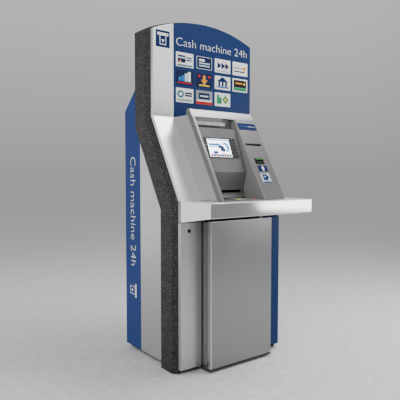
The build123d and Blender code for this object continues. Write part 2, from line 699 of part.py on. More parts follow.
def build():
    os.makedirs("parts", exist_ok=True)
    put("base_frame", base_frame())
    put("levelling_feet", levelling_feet())
    put("surround_left", surround_side(-1))
    put("surround_right", surround_side(1))
    put("surround_arch", surround_arch())
    put("side_panel_left", side_panel(-1))
    put("side_panel_right", side_panel(1))
    put("rear_panel", rear_panel())
    put("roof_panel", roof_panel())
    put("header_back_panel", header_back())
    put("header_sign_panel", header_sign())
    put("header_side_strip", Compound([header_strip(), header_trim()]))
    put("slant_panel_left", slant_panel(-PANEL_HALF, -BAY_HALF))
    put("slant_panel_right", slant_panel(BAY_HALF, PANEL_HALF))
    put("front_panel_right", front_panel_right())
    put("bay_frame", bay_frame())
    put("hinge_pins", hinge_pins())
    put("shelf", shelf())
    put("safe_body", safe_body())
    put("safe_door", safe_door())
    put("computer", computer())
    put("power_inlet", power_inlet())
    put("top_box", top_box())
    put("rail_outer", rail_outer())
    put("rail_inner", rail_inner())
    put("fascia_shell", fascia_shell())
    put("recess_liner", recess_liner())
    put("lamp_housing", lamp_housing())
    put("display_bezel", display_bezel())
    put("display_module", display_module())
    put("keypad_plate", keypad_plate())
    put("cash_outlet", cash_outlet())
    put("cash_shutter", cash_shutter())
    put("card_reader", card_reader())
    put("receipt_slot", receipt_slot())
    put("fascia_labels", labels())
    put("cover_door", cover_door())
    put("service_door", service_door())
    put("lock_cylinder", lock_cylinder())
    for i, (x, y) in enumerate(key_grid()):
        put(f"key_{i + 1:02d}", keypad_key(x, y))
    for i, (x, z) in enumerate(side_keys()):
        put(f"side_key_{i + 1}", side_key(x, z))


build()
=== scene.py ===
import json
import math

import bmesh
import bpy
from mathutils import Matrix, Vector
from mathutils.bvhtree import BVHTree

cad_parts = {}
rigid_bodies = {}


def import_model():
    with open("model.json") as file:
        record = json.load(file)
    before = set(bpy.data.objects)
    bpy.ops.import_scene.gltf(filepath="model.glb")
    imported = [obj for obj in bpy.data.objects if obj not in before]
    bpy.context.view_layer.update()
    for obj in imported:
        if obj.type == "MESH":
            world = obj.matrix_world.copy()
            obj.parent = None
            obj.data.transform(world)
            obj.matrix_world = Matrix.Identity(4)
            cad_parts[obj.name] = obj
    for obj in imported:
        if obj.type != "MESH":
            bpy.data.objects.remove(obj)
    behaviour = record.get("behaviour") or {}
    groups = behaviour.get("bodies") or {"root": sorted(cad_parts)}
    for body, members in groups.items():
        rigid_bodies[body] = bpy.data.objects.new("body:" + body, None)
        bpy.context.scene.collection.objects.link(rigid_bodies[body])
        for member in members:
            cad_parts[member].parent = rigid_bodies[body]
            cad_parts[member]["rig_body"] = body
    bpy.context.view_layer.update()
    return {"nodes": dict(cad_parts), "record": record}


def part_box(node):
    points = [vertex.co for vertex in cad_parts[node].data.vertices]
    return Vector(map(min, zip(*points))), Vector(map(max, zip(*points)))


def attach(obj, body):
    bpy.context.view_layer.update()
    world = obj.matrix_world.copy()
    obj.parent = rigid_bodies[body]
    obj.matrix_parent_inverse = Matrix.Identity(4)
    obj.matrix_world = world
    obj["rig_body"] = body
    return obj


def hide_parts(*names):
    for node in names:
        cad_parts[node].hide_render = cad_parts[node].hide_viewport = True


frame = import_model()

NODES = frame["nodes"]
SLOTS = {s["node"]: s["material_slot"] for s in frame["record"]["subparts"]}
MM = 0.001


def low(node):
    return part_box(node)[0]


def high(node):
    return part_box(node)[1]


# ---- main planes, read from the frame ----------------------------------------------------
FACE_Y = low("front_panel_right").y               # face of the lower front panels
HEAD_Y = low("header_sign_panel").y               # face of the header
HEAD_Z = low("header_sign_panel").z               # foot of the header
SHELF_Z = high("shelf").z
SLOPE = (HEAD_Y - FACE_Y) / (HEAD_Z - SHELF_Z)    # rearward lean of the slanted front
SIDE_X = high("side_panel_right").x
REAR_Y = high("rear_panel").y
SCREEN_LOW = low("display_bezel")
SCREEN_HIGH = high("display_bezel")
KEY_NODES = sorted(n for n in NODES if n.startswith("key_"))
SIDE_KEY_NODES = sorted(n for n in NODES if n.startswith("side_key_"))

# ---- sizes that several pieces share -----------------------------------------------------
EDGE = 0.8 * MM                # rounding of a folded sheet's edges
FINE_EDGE = 0.6 * MM           # rounding of thinner parts' edges
SCREEN_LEAN = 0.393            # rearward lean of the screen panel
FILM_DEPTH = 188 * MM          # depth of the blue film on the side panels
SCREW_RISE = 1.2 * MM          # the rear screw heads stand this much above the rear panel


# ---- shader helpers ----------------------------------------------------------------------
def shade(colour, factor):
    """Colour made darker or lighter by factor."""
    return tuple(min(1.0, c * factor) for c in colour)


def material(name, colour, rough=0.5, metal=0.0):
    mat = bpy.data.materials.new(name)
    mat.use_nodes = True
    tree = mat.node_tree
    shader = tree.nodes["Principled BSDF"]
    shader.inputs["Base Color"].default_value = (*colour, 1.0)
    shader.inputs["Roughness"].default_value = rough
    shader.inputs["Metallic"].default_value = metal
    mat.diffuse_color = (*colour, 1.0)
    return mat, tree, shader


def space(tree, scale):
    """Object coordinates stretched by scale along each axis."""
    coord = tree.nodes.new("ShaderNodeTexCoord")
    mapping = tree.nodes.new("ShaderNodeMapping")
    mapping.inputs["Scale"].default_value = scale
    tree.links.new(coord.outputs["Object"], mapping.inputs["Vector"])
    return mapping.outputs["Vector"]


def noise(tree, vector, scale, detail=4.0, rough=0.5):
    node = tree.nodes.new("ShaderNodeTexNoise")
    node.inputs["Scale"].default_value = scale
    node.inputs["Detail"].default_value = detail
    node.inputs["Roughness"].default_value = rough
    tree.links.new(vector, node.inputs["Vector"])
    return node.outputs["Fac"]


def ramp(tree, value, *stops):
    """Colour ramp through (position, grey or rgb) stops."""
    node = tree.nodes.new("ShaderNodeValToRGB")
    marks = node.color_ramp.elements
    while len(marks) < len(stops):
        marks.new(0.5)
    for mark, (place, tone) in zip(marks, stops):
        mark.position = place
        mark.color = (tone, tone, tone, 1.0) if isinstance(tone, float) else (*tone, 1.0)
    tree.links.new(value, node.inputs["Fac"])
    return node.outputs["Color"]


def blend_colour(tree, factor, first, second):
    node = tree.nodes.new("ShaderNodeMix")
    node.data_type = "RGBA"
    for socket, value in (("Factor", factor), ("A", first), ("B", second)):
        target = [s for s in node.inputs if s.name == socket and s.enabled][0]
        if isinstance(value, (tuple, list)):
            target.default_value = (*value, 1.0)
        elif isinstance(value, float):
            target.default_value = value
        else:
            tree.links.new(value, target)
    return [s for s in node.outputs if s.enabled][0]


def arithmetic(tree, operation, first, second):
    node = tree.nodes.new("ShaderNodeMath")
    node.operation = operation
    for i, value in enumerate((first, second)):
        if isinstance(value, float):
            node.inputs[i].default_value = value
        else:
            tree.links.new(value, node.inputs[i])
    return node.outputs[0]


def bump(tree, shader, height, strength, distance):
    node = tree.nodes.new("ShaderNodeBump")
    node.inputs["Strength"].default_value = strength
    node.inputs["Distance"].default_value = distance
    tree.links.new(height, node.inputs["Height"])
    tree.links.new(node.outputs["Normal"], shader.inputs["Normal"])


# ---- materials ---------------------------------------------------------------------------
FLECKS = (                     # cells per metre, share of cells left plain, colour
    (120.0, 0.84, (0.1125, 0.105, 0.099)),
    (210.0, 0.80, (0.0675, 0.060, 0.054)),
    (380.0, 0.82, (0.165, 0.165, 0.1725)),
)


def stone():
    """Charcoal laminate with small paler flecks and a fine pitted surface."""
    mat, tree, shader = material("stone", (0.016, 0.015, 0.015), 0.55)
    shader.inputs["Specular IOR Level"].default_value = 0.32
    even = space(tree, (1, 1, 1))
    cloud = noise(tree, even, 26.0, 3.0)
    colour = ramp(tree, cloud, (0.3, (0.011, 0.0105, 0.0105)), (0.7, (0.023, 0.022, 0.022)))
    for scale, share, tone in FLECKS:
        cells = tree.nodes.new("ShaderNodeTexVoronoi")
        cells.inputs["Scale"].default_value = scale
        tree.links.new(even, cells.inputs["Vector"])
        split = tree.nodes.new("ShaderNodeSeparateColor")
        tree.links.new(cells.outputs["Color"], split.inputs["Color"])
        chosen = arithmetic(tree, "GREATER_THAN", split.outputs["Red"], share)
        near = arithmetic(tree, "LESS_THAN", cells.outputs["Distance"], 0.42)
        fleck = arithmetic(tree, "MULTIPLY", chosen, near)
        colour = blend_colour(tree, fleck, colour, tone)
    tree.links.new(colour, shader.inputs["Base Color"])
    grain = noise(tree, even, 420.0, 4.0, 0.7)
    tree.links.new(ramp(tree, grain, (0.3, 0.48), (0.7, 0.66)), shader.inputs["Roughness"])
    bump(tree, shader, grain, 0.35, 0.0006)
    return mat


def satin_metal(name, tone, rough, streaks, metal=0.9, contrast=0.06):
    """Metal with fine streaks along the axis that streaks leaves short, and faint cloudiness."""
    colour = (tone, tone, tone * 1.01)
    mat, tree, shader = material(name, colour, rough, metal)
    fine = noise(tree, space(tree, streaks), 1.0, 5.0, 0.65)
    cloud = noise(tree, space(tree, (1, 1, 1)), 5.5, 3.0)
    dark = shade(colour, 1.0 - contrast)
    streaked = ramp(tree, fine, (0.32, dark), (0.68, shade(colour, 1.0 + contrast)))
    worn = blend_colour(tree, ramp(tree, cloud, (0.35, 0.0), (0.75, 0.22)), streaked, dark)
    tree.links.new(worn, shader.inputs["Base Color"])
    streak_part = arithmetic(tree, "MULTIPLY", fine, 0.6)
    cloud_part = arithmetic(tree, "MULTIPLY", cloud, 0.4)
    both = arithmetic(tree, "ADD", streak_part, cloud_part)
    tree.links.new(ramp(tree, both, (0.3, rough * 0.82), (0.7, rough * 1.2)), shader.inputs["Roughness"])
    bump(tree, shader, fine, 0.10, 0.0002)
    return mat


def paint(name, colour, rough=0.4, metal=0.0, peel=0.12, flake=0.0, gloss=0.5, patchy=0.07):
    """Sprayed or powder-coated paint: orange peel, slight mottling and optional metallic flake."""
    mat, tree, shader = material(name, colour, rough, metal)
    even = space(tree, (1, 1, 1))
    mottle = noise(tree, even, 9.0, 4.0)
    tone = ramp(tree, mottle, (0.3, shade(colour, 1.0 - patchy)), (0.7, shade(colour, 1.0 + patchy)))
    if flake:
        sparkle = ramp(tree, noise(tree, even, 1500.0, 1.0), (0.55, 0.0), (0.8, 0.8))
        tone = blend_colour(tree, sparkle, tone, shade(colour, 1.0 + flake))
    tree.links.new(tone, shader.inputs["Base Color"])
    shader.inputs["Specular IOR Level"].default_value = gloss
    skin = noise(tree, even, 650.0, 3.0)
    smooth = rough * (1.0 - 1.7 * patchy)
    dull = rough * (1.0 + 2.1 * patchy)
    tree.links.new(ramp(tree, mottle, (0.3, smooth), (0.7, dull)), shader.inputs["Roughness"])
    bump(tree, shader, skin, peel, 0.0004)
    return mat


def side_skin():
    """Side panel: satin silver with a blue film along its rear, FILM_DEPTH deep."""
    mat, tree, shader = material("side_skin", SILVER_TONE, 0.36, 0.9)
    shader.inputs["Specular IOR Level"].default_value = 0.10
    coord = tree.nodes.new("ShaderNodeTexCoord")
    split = tree.nodes.new("ShaderNodeSeparateXYZ")
    tree.links.new(coord.outputs["Object"], split.inputs["Vector"])
    film = arithmetic(tree, "GREATER_THAN", split.outputs["Y"], REAR_Y - FILM_DEPTH)
    streak = noise(tree, space(tree, (300, 300, 5)), 1.0, 5.0, 0.65)
    mottle = noise(tree, space(tree, (1, 1, 1)), 8.0, 4.0)
    silver = ramp(tree, streak, (0.3, shade(SILVER_TONE, 0.93)), (0.7, shade(SILVER_TONE, 1.05)))
    blue = ramp(tree, mottle, (0.3, shade(FILM_TONE, 0.93)), (0.7, shade(FILM_TONE, 1.07)))
    tree.links.new(blend_colour(tree, film, silver, blue), shader.inputs["Base Color"])
    plain = arithmetic(tree, "SUBTRACT", 1.0, film)
    tree.links.new(arithmetic(tree, "MULTIPLY", plain, 0.9), shader.inputs["Metallic"])
    smooth = arithmetic(tree, "MULTIPLY", mottle, 0.25)
    rough = arithmetic(tree, "ADD", smooth, arithmetic(tree, "MULTIPLY", film, 0.25))
    tree.links.new(arithmetic(tree, "ADD", rough, 0.24), shader.inputs["Roughness"])
    bump(tree, shader, arithmetic(tree, "ADD", streak, film), 0.08, 0.0003)
    return mat


def glow(name, colour, strength):
    """Lit plastic with a faint grain."""
    mat, tree, shader = material(name, shade(colour, 0.3), 0.35)
    shader.inputs["Emission Color"].default_value = (*colour, 1.0)
    shader.inputs["Emission Strength"].default_value = strength
    grain = noise(tree, space(tree, (1, 1, 1)), 900.0, 2.0)
    bump(tree, shader, grain, 0.05, 0.0001)
    tone = ramp(tree, grain, (0.3, shade(colour, 0.27)), (0.7, shade(colour, 0.33)))
    tree.links.new(tone, shader.inputs["Base Color"])
    return mat


def plastic(name, colour, rough=0.4, grain=900.0, strength=0.2, gloss=0.5):
    """Moulded plastic with a fine spark-eroded grain and slightly polished patches."""
    mat, tree, shader = material(name, colour, rough)
    shader.inputs["Specular IOR Level"].default_value = gloss
    even = space(tree, (1, 1, 1))
    texture = noise(tree, even, grain, 3.0)
    patch = noise(tree, even, 22.0, 3.0)
    tone = ramp(tree, patch, (0.3, shade(colour, 0.9)), (0.7, shade(colour, 1.08)))
    tree.links.new(tone, shader.inputs["Base Color"])
    tree.links.new(ramp(tree, patch, (0.3, rough * 0.8), (0.7, rough * 1.2)), shader.inputs["Roughness"])
    bump(tree, shader, texture, strength, 0.0002)
    return mat


SILVER_TONE = (0.53, 0.53, 0.533)
FILM_TONE = (0.030, 0.064, 0.235)
SIGN_BLUE = (0.0055, 0.025, 0.112)
INK_TONES = {
    "film": FILM_TONE,
    "white": (0.90, 0.90, 0.90), "navy": (0.006, 0.014, 0.060), "blue": (0.002, 0.015, 0.090),
    "sky": (0.03, 0.17, 0.46), "teal": (0.02, 0.16, 0.20), "red": (0.52, 0.02, 0.02),
    "orange": (0.78, 0.30, 0.02), "yellow": (0.78, 0.55, 0.04), "green": (0.02, 0.26, 0.10),
    "grey": (0.30, 0.32, 0.34), "black": (0.012, 0.012, 0.013), "pale": (0.58, 0.70, 0.82),
}
inks = {}


def ink(name):
    """Printing ink, made when it is first asked for."""
    if name not in inks:
        inks[name] = paint("ink_" + name, INK_TONES[name], 0.48, peel=0.04, gloss=0.10)
    return inks[name]


MATS = {
    "stone": stone(),
    "silver": satin_metal("silver", 0.70, 0.30, (320, 320, 4)),
    "blue": paint("blue", SIGN_BLUE, 0.45, peel=0.05, gloss=0.15),
    "side": side_skin(),
    "dark": paint("dark", (0.030, 0.030, 0.033), 0.5, peel=0.35),
    "steel": satin_metal("steel", 0.70, 0.10, (4, 260, 420), 1.0, 0.03),
    "door_steel": satin_metal("door_steel", 0.27, 0.32, (420, 300, 3.5), 1.0, 0.025),
    "strip_steel": satin_metal("strip_steel", 0.50, 0.33, (420, 300, 3.5), 1.0, 0.05),
    "slant": satin_metal("slant", 0.90, 0.42, (320, 320, 4), 0.70, 0.03),
    # Lighter copy of the door steel for the door's edges: a painted highlight.
    "door_edge_highlight": satin_metal("door_edge_highlight", 0.62, 0.33, (300, 300, 3.5), 1.0, 0.03),
    "post_steel": satin_metal("post_steel", 0.34, 0.36, (420, 300, 3.5), 1.0, 0.03),
    "zinc": satin_metal("zinc", 0.52, 0.38, (60, 60, 60), 1.0, 0.12),
    "fascia": paint("fascia", (0.178, 0.176, 0.173), 0.38, 0.45, 0.015, 0.10, 0.5, 0.02),
    # Lighter copy of the fascia paint for the hood: a painted highlight where the hood turns up to the
    # overhead light.
    "hood": paint("hood", (0.31, 0.307, 0.303), 0.34, 0.50, 0.015, 0.10, 0.5, 0.02),
    "cheek": paint("cheek", (0.440, 0.437, 0.434), 0.42, 0.25, 0.04, 0.15, 0.5, 0.03),
    # The liner paint is darkened as a painted shade against the overhead light on the upward-facing screen
    # panel. The lit side wall paint is a lighter copy of it, painted light for the recess's right wall.
    "liner": paint("liner", (0.150, 0.148, 0.145), 0.46, 0.1, 0.04, 0.15, 0.35, 0.03),
    "lit_side_wall": paint("lit_side_wall", (0.30, 0.296, 0.29), 0.46, 0.1, 0.04, 0.15, 0.35, 0.03),
    "rim": paint("rim", (0.34, 0.336, 0.33), 0.40, 0.2, 0.04, 0.10, 0.4, 0.03),
    # Rougher steel for the shelf's top, also painted lighter than the shelf steel: a painted highlight.
    "shelf_top_rough_highlight": satin_metal("shelf_top_rough_highlight", 0.86, 0.42, (4, 260, 420), 0.55, 0.03),
    "black": plastic("black", (0.010, 0.010, 0.011), 0.42, gloss=0.16),
    "bezel": plastic("bezel", (0.036, 0.036, 0.038), 0.42, gloss=0.3),
    "side_key": plastic("side_key", (0.010, 0.010, 0.011), 0.36, gloss=0.2),
    "key": plastic("key", (0.17, 0.17, 0.175), 0.33),
    "key_y": plastic("key_y", (0.70, 0.62, 0.03), 0.35),
    "key_g": plastic("key_g", (0.015, 0.22, 0.06), 0.35),
    "key_r": plastic("key_r", (0.40, 0.02, 0.02), 0.35),
    "key_w": plastic("key_w", (0.62, 0.62, 0.62), 0.28),
    "safe": paint("safe", (0.16, 0.17, 0.18), 0.5, peel=0.5),
    "lamp": plastic("lamp", (0.42, 0.41, 0.40), 0.3, 300.0, 0.1),
    "glass": plastic("glass", (0.02, 0.03, 0.035), 0.08, 60.0, 0.01),
}
MATS["label"] = ink("blue")


# ---- mesh helpers ------------------------------------------------------------------------
def finish_piece(obj, body, soften=True):
    """Puts a piece into the scene, riding on body, with smooth shading where soften says so."""
    mesh = obj.data
    if soften:
        mesh.shade_smooth()
        mesh.set_sharp_from_angle(angle=math.radians(42))
        weigh = obj.modifiers.new("weighted", "WEIGHTED_NORMAL")
        weigh.keep_sharp = True
    bpy.context.scene.collection.objects.link(obj)
    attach(obj, body)
    return obj


def refine(node, width, segments=2, mats=None, choose=None):
    """Finer copy of a CAD node with its edges rounded by width, standing for that node.

    choose gives the place in mats for a face's centre.
    """
    source = NODES[node]
    bm = bmesh.new()
    bm.from_mesh(source.data)
    bmesh.ops.remove_doubles(bm, verts=bm.verts, dist=0.002 * MM)
    bmesh.ops.dissolve_limit(bm, angle_limit=math.radians(0.4), verts=bm.verts, edges=bm.edges)
    sharp = [e for e in bm.edges if len(e.link_faces) == 2 and e.calc_face_angle(0.0) > math.radians(25)]
    bmesh.ops.bevel(bm, geom=sharp, offset=width, segments=segments, profile=0.5,
                    affect="EDGES", clamp_overlap=True)
    bmesh.ops.recalc_face_normals(bm, faces=bm.faces)
    mats = mats or [MATS[SLOTS[node]]]
    if choose:
        for face in bm.faces:
            face.material_index = choose(face.calc_center_median())
    mesh = bpy.data.meshes.new(node + "_skin")
    bm.to_mesh(mesh)
    bm.free()
    for mat in mats:
        mesh.materials.append(mat)
    obj = bpy.data.objects.new(mesh.name, mesh)
    finish_piece(obj, source["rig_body"])
    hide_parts(node)


def placing(point, right, up):
    """Matrix whose x, y and z are right, up and outwards from a surface, at point."""
    right = Vector(right).normalized()
    up = Vector(up).normalized()
    out = right.cross(up)
    turn = Matrix((right, up, out)).transposed().to_4x4()
    return Matrix.Translation(Vector(point)) @ turn


CORNER_STEPS = 5               # flats in a rounded corner of an outline


def outline_points(shape, w, h, r=0.0, turn=0.0):
    """Outline round the origin: a rounded rectangle, or a regular polygon with shape sides."""
    if shape == "rect":
        r = min(r, w / 2 - 0.01 * MM, h / 2 - 0.01 * MM)
        if r <= 0:
            return [(-w / 2, -h / 2), (w / 2, -h / 2), (w / 2, h / 2), (-w / 2, h / 2)]
        points = []
        for quarter, (sx, sy) in enumerate(((1, -1), (1, 1), (-1, 1), (-1, -1))):
            cx = sx * (w / 2 - r)
            cy = sy * (h / 2 - r)
            for step in range(CORNER_STEPS + 1):
                a = math.radians(-90 + 90 * (quarter + step / CORNER_STEPS))
                points.append((cx + r * math.cos(a), cy + r * math.sin(a)))
        return points
    return [(w / 2 * math.cos(turn + 2 * math.pi * i / shape),
             h / 2 * math.sin(turn + 2 * math.pi * i / shape)) for i in range(shape)]


def add_plate(bm, points, cx, cy, z0, z1, index=0):
    """Closed prism over an outline, from z0 to z1, with its top edge slightly rounded."""
    edge = min(0.35 * (z1 - z0), 1.2 * MM)
    rings = []
    size = max(max(abs(x), abs(y)) for x, y in points)
    for z, inset in ((z0, 0.0), (z1 - edge, 0.0), (z1, edge)):
        k = 1.0 - inset / size
        rings.append([bm.verts.new((cx + x * k, cy + y * k, z)) for x, y in points])
    n = len(points)
    for a, b in zip(rings, rings[1:]):
        for i in range(n):
            face = bm.faces.new((a[i], a[(i + 1) % n], b[(i + 1) % n], b[i]))
            face.material_index = index
    for ring, flip in ((rings[0], True), (rings[-1], False)):
        face = bm.faces.new(list(reversed(ring)) if flip else ring)
        face.material_index = index


def build_piece(name, make, mats, matrix, body):
    """Piece whose mesh make fills in, moved by matrix."""
    bm = bmesh.new()
    make(bm)
    mesh = bpy.data.meshes.new(name)
    bm.transform(matrix)
    bmesh.ops.recalc_face_normals(bm, faces=bm.faces)
    bm.to_mesh(mesh)
    bm.free()
    for mat in mats:
        mesh.materials.append(mat)
    obj = bpy.data.objects.new(name, mesh)
    return finish_piece(obj, body)


def sign(name, w, h, ground, shapes, matrix, body, thick=0.8 * MM, corner=3 * MM):
    """Printed plate: a ground colour and flat shapes on it, each a little higher than the last.

    A shape is (kind, x, y, w, h, colour, turn): x and y in half plates from the middle, w and h in
    whole plates, turn in degrees.
    """
    colours = [ground] + sorted({s[5] for s in shapes} - {ground})

    def make(bm):
        add_plate(bm, outline_points("rect", w, h, corner), 0, 0, 0, thick)
        for i, (kind, x, y, sw, sh, colour, turn) in enumerate(shapes):
            points = outline_points(kind, sw * w, sh * h, 0.06 * min(sw * w, sh * h), math.radians(turn))
            lift = thick + (0.25 + 0.12 * i) * MM
            add_plate(bm, points, x * w / 2, y * h / 2, thick * 0.5, lift, colours.index(colour))

    return build_piece(name, make, [ink(c) for c in colours], matrix, body)


CAP_HEIGHT = 0.73              # height of a capital for a font size of 1


def lettering(name, words, height, mat, matrix, body, width=None, depth=0.5 * MM, thin=0.018):
    """Raised lettering with capitals of height, stretched to width and thinned by a share of height."""
    curve = bpy.data.curves.new(name, "FONT")
    curve.body = words
    curve.size = height / CAP_HEIGHT
    curve.extrude = depth
    curve.offset = -thin * height
    curve.resolution_u = 4
    curve.align_x = "CENTER"
    curve.align_y = "CENTER"
    holder = bpy.data.objects.new(name + "_curve", curve)
    bpy.context.scene.collection.objects.link(holder)
    bpy.context.view_layer.update()
    mesh = bpy.data.meshes.new_from_object(holder.evaluated_get(bpy.context.evaluated_depsgraph_get()))
    bpy.data.objects.remove(holder)
    bpy.data.curves.remove(curve)
    mesh.name = name
    if width:
        xs = [v.co.x for v in mesh.vertices]
        mesh.transform(Matrix.Diagonal((width / (max(xs) - min(xs)), 1, 1, 1)))
    mesh.transform(matrix)
    mesh.materials.clear()
    mesh.materials.append(mat)
    finish_piece(bpy.data.objects.new(name, mesh), body, False)


# ---- the kiosk's own panels --------------------------------------------------------------
def kiosk_panels():
    for node in ("surround_left", "surround_right", "surround_arch"):
        refine(node, 2.5 * MM, 3)
    for node in ("side_panel_left", "side_panel_right"):
        refine(node, FINE_EDGE)
    rear_skin()
    for node in ("roof_panel", "front_panel_right", "header_back_panel", "header_sign_panel"):
        refine(node, EDGE)
    for node in ("slant_panel_left", "slant_panel_right"):
        refine(node, EDGE, 2, [MATS["slant"]])
    trim = low("header_sign_panel").x - 8.2 * MM       # left edge of the bright trim line
    refine("header_side_strip", EDGE, 2, [MATS["silver"], ink("white")],
           lambda c: int(c.x > trim and c.y < HEAD_Y + 3 * MM))
    # The shelf's top faces take a rougher, lighter copy of the steel. The rougher finish is real; the
    # lightness is a painted highlight along the top.
    refine("shelf", EDGE, 2, [MATS["steel"], MATS["shelf_top_rough_highlight"]], lambda c: int(c.z > SHELF_Z - 2 * MM))
    refine("top_box", FINE_EDGE, 2, [MATS["cheek"]])
    for node in ("base_frame", "levelling_feet", "hinge_pins", "rail_outer", "computer", "power_inlet",
                 "safe_body", "safe_door"):
        refine(node, EDGE)
    refine("bay_frame", EDGE, 2, [MATS["post_steel"]])
    refine("service_door", 0.7 * MM, 2, [MATS["strip_steel"]])
    # Every face behind the door's front, its chamfers, sides and top edge, takes the lighter steel: a painted
    # highlight along the door's edges.
    face = low("cover_door").y + 0.2 * MM
    refine("cover_door", 1.2 * MM, 2, [MATS["door_steel"], MATS["door_edge_highlight"]], lambda c: int(c.y > face))
    refine("lock_cylinder", 0.4 * MM, 2, [MATS["black"]])


def outside_slot(c):
    """1 for the cash outlet's tray, rims and frame, 0 inside its slot and at its foot. At the foot, the dark
    plastic on the undercut is a painted shadow line under the real step.
    """
    lo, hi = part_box("cash_outlet")
    return int(c.y < hi.y - 20 * MM and c.z > lo.z + 6 * MM)


def fascia_panels():
    # Faces above the recess take the lighter hood paint: a painted highlight on the hood.
    hood = high("recess_liner").z
    refine("fascia_shell", 1.2 * MM, 3, [MATS["fascia"], MATS["hood"]], lambda c: int(c.z > hood))
    wall = SCREEN_HIGH.x + 20 * MM                     # the recess's right wall starts here
    # The right wall takes the lighter copy of the liner paint: painted light on the wall facing the left
    # lamps.
    refine("recess_liner", EDGE, 2, [MATS["liner"], MATS["lit_side_wall"]], lambda c: int(c.x > wall))
    split = low("lamp_housing").z + 20.5 * MM          # between the lamp's two tiers
    refine("lamp_housing", 2.0 * MM, 3, [MATS["lamp"], MATS["liner"]], lambda c: int(c.z > split))
    refine("display_bezel", FINE_EDGE, 2, [MATS["bezel"]])
    refine("display_module", 0.4 * MM, 2, [MATS["glass"]])
    refine("keypad_plate", FINE_EDGE)
    refine("cash_outlet", EDGE, 2, [MATS["bezel"], MATS["liner"]], outside_slot)
    refine("cash_shutter", EDGE, 2, [MATS["post_steel"]])
    refine("card_reader", 1.0 * MM, 3)
    refine("receipt_slot", 0.5 * MM)
    refine("rail_inner", EDGE)


# ---- header and side graphics ------------------------------------------------------------
TITLE = "Cash machine 24h"
TILE_W = 131 * MM
TILE_H = 87 * MM
TILE_STEP_X = 151.5 * MM
TILE_STEP_Z = 108 * MM
TILE_COLUMNS = 4
TILES = [                      # ground colour and shapes, as sign() takes them
    ("white", [("rect", -0.36, 0.10, 0.44, 0.50, "navy", 0), ("rect", -0.36, 0.28, 0.44, 0.10, "pale", 0),
               ("rect", -0.52, -0.22, 0.12, 0.12, "orange", 0), ("rect", 0.46, 0.34, 0.34, 0.09, "blue", 0),
               ("rect", 0.46, 0.0, 0.34, 0.09, "blue", 0), ("rect", 0.0, -0.78, 0.84, 0.10, "teal", 0)]),
    ("navy", [("rect", 0, 0, 0.94, 0.90, "pale", 0), ("rect", 0, 0, 0.89, 0.83, "navy", 0),
              ("rect", -0.30, 0.38, 0.34, 0.16, "white", 0), ("rect", 0, -0.05, 0.66, 0.09, "pale", 0),
              ("rect", 0, -0.42, 0.66, 0.09, "pale", 0)]),
    ("white", [(3, -0.50, 0.05, 0.34, 0.62, "blue", 0), (3, 0.0, 0.05, 0.34, 0.62, "blue", 0),
               (3, 0.50, 0.05, 0.34, 0.62, "navy", 0), ("rect", 0, -0.76, 0.80, 0.07, "grey", 0)]),
    ("white", [("rect", -0.30, 0.12, 0.56, 0.12, "grey", 0), (4, 0.56, 0.12, 0.26, 0.40, "orange", 0),
               ("rect", -0.12, -0.40, 0.72, 0.09, "black", 0)]),
    ("navy", [("rect", -0.56, -0.22, 0.16, 0.30, "sky", 0), ("rect", -0.20, -0.10, 0.16, 0.42, "sky", 0),
              ("rect", 0.16, 0.04, 0.16, 0.56, "pale", 0), ("rect", 0.52, 0.18, 0.16, 0.70, "white", 0),
              ("rect", 0, -0.74, 0.84, 0.08, "red", 0)]),
    ("navy", [("rect", 0.0, 0.30, 0.16, 0.40, "orange", 0), (3, 0.0, -0.22, 0.46, 0.56, "orange", -90),
              ("rect", 0.0, -0.74, 0.64, 0.10, "yellow", 0), ("rect", -0.62, 0.55, 0.14, 0.16, "red", 0),
              ("rect", 0.62, 0.55, 0.14, 0.16, "red", 0)]),
    ("white", [(3, 0, 0.42, 0.84, 0.50, "blue", 90), ("rect", -0.44, -0.14, 0.12, 0.34, "blue", 0),
               ("rect", 0, -0.14, 0.12, 0.34, "blue", 0), ("rect", 0.44, -0.14, 0.12, 0.34, "blue", 0),
               ("rect", 0, -0.62, 0.76, 0.12, "sky", 0)]),
    ("white", [("rect", 0, 0.22, 0.86, 0.56, "black", 0), ("rect", -0.16, 0.30, 0.44, 0.12, "orange", 0),
               (4, 0.56, 0.26, 0.16, 0.26, "yellow", 0), ("rect", 0, -0.60, 0.86, 0.24, "green", 0)]),
    ("white", [(6, -0.48, 0.16, 0.42, 0.58, "teal", 0), (6, -0.48, 0.16, 0.20, 0.28, "white", 0),
               ("rect", 0.42, 0.34, 0.42, 0.12, "navy", 0), ("rect", 0.42, 0.0, 0.42, 0.12, "navy", 0),
               ("rect", 0, -0.66, 0.84, 0.12, "grey", 0)]),
    ("grey", [("rect", 0, 0.20, 0.66, 0.44, "navy", 0), ("rect", 0, 0.20, 0.50, 0.12, "pale", 0),
              ("rect", 0, -0.50, 0.90, 0.16, "white", 0), ("rect", 0, -0.78, 1.0, 0.20, "red", 0)]),
    ("white", [("rect", -0.58, 0.02, 0.16, 0.66, "green", 0), ("rect", -0.28, -0.16, 0.16, 0.48, "green", 0),
               (4, 0.36, 0.02, 0.42, 0.64, "green", 0), (4, 0.36, 0.02, 0.20, 0.30, "yellow", 0)]),
]


def note_mark(name, size, matrix, body, ground="blue"):
    """Pictogram: a bank note coming down from a rounded slot, with an arrow on it."""
    shapes = [("rect", 0, 0.56, 0.78, 0.16, "white", 0), ("rect", 0, -0.12, 0.46, 0.58, "white", 0),
              ("rect", 0, -0.12, 0.38, 0.50, ground, 0), (3, 0, -0.20, 0.26, 0.26, "white", -90)]
    sign(name, size, size, ground, shapes, matrix, body, 0.8 * MM, 6 * MM)


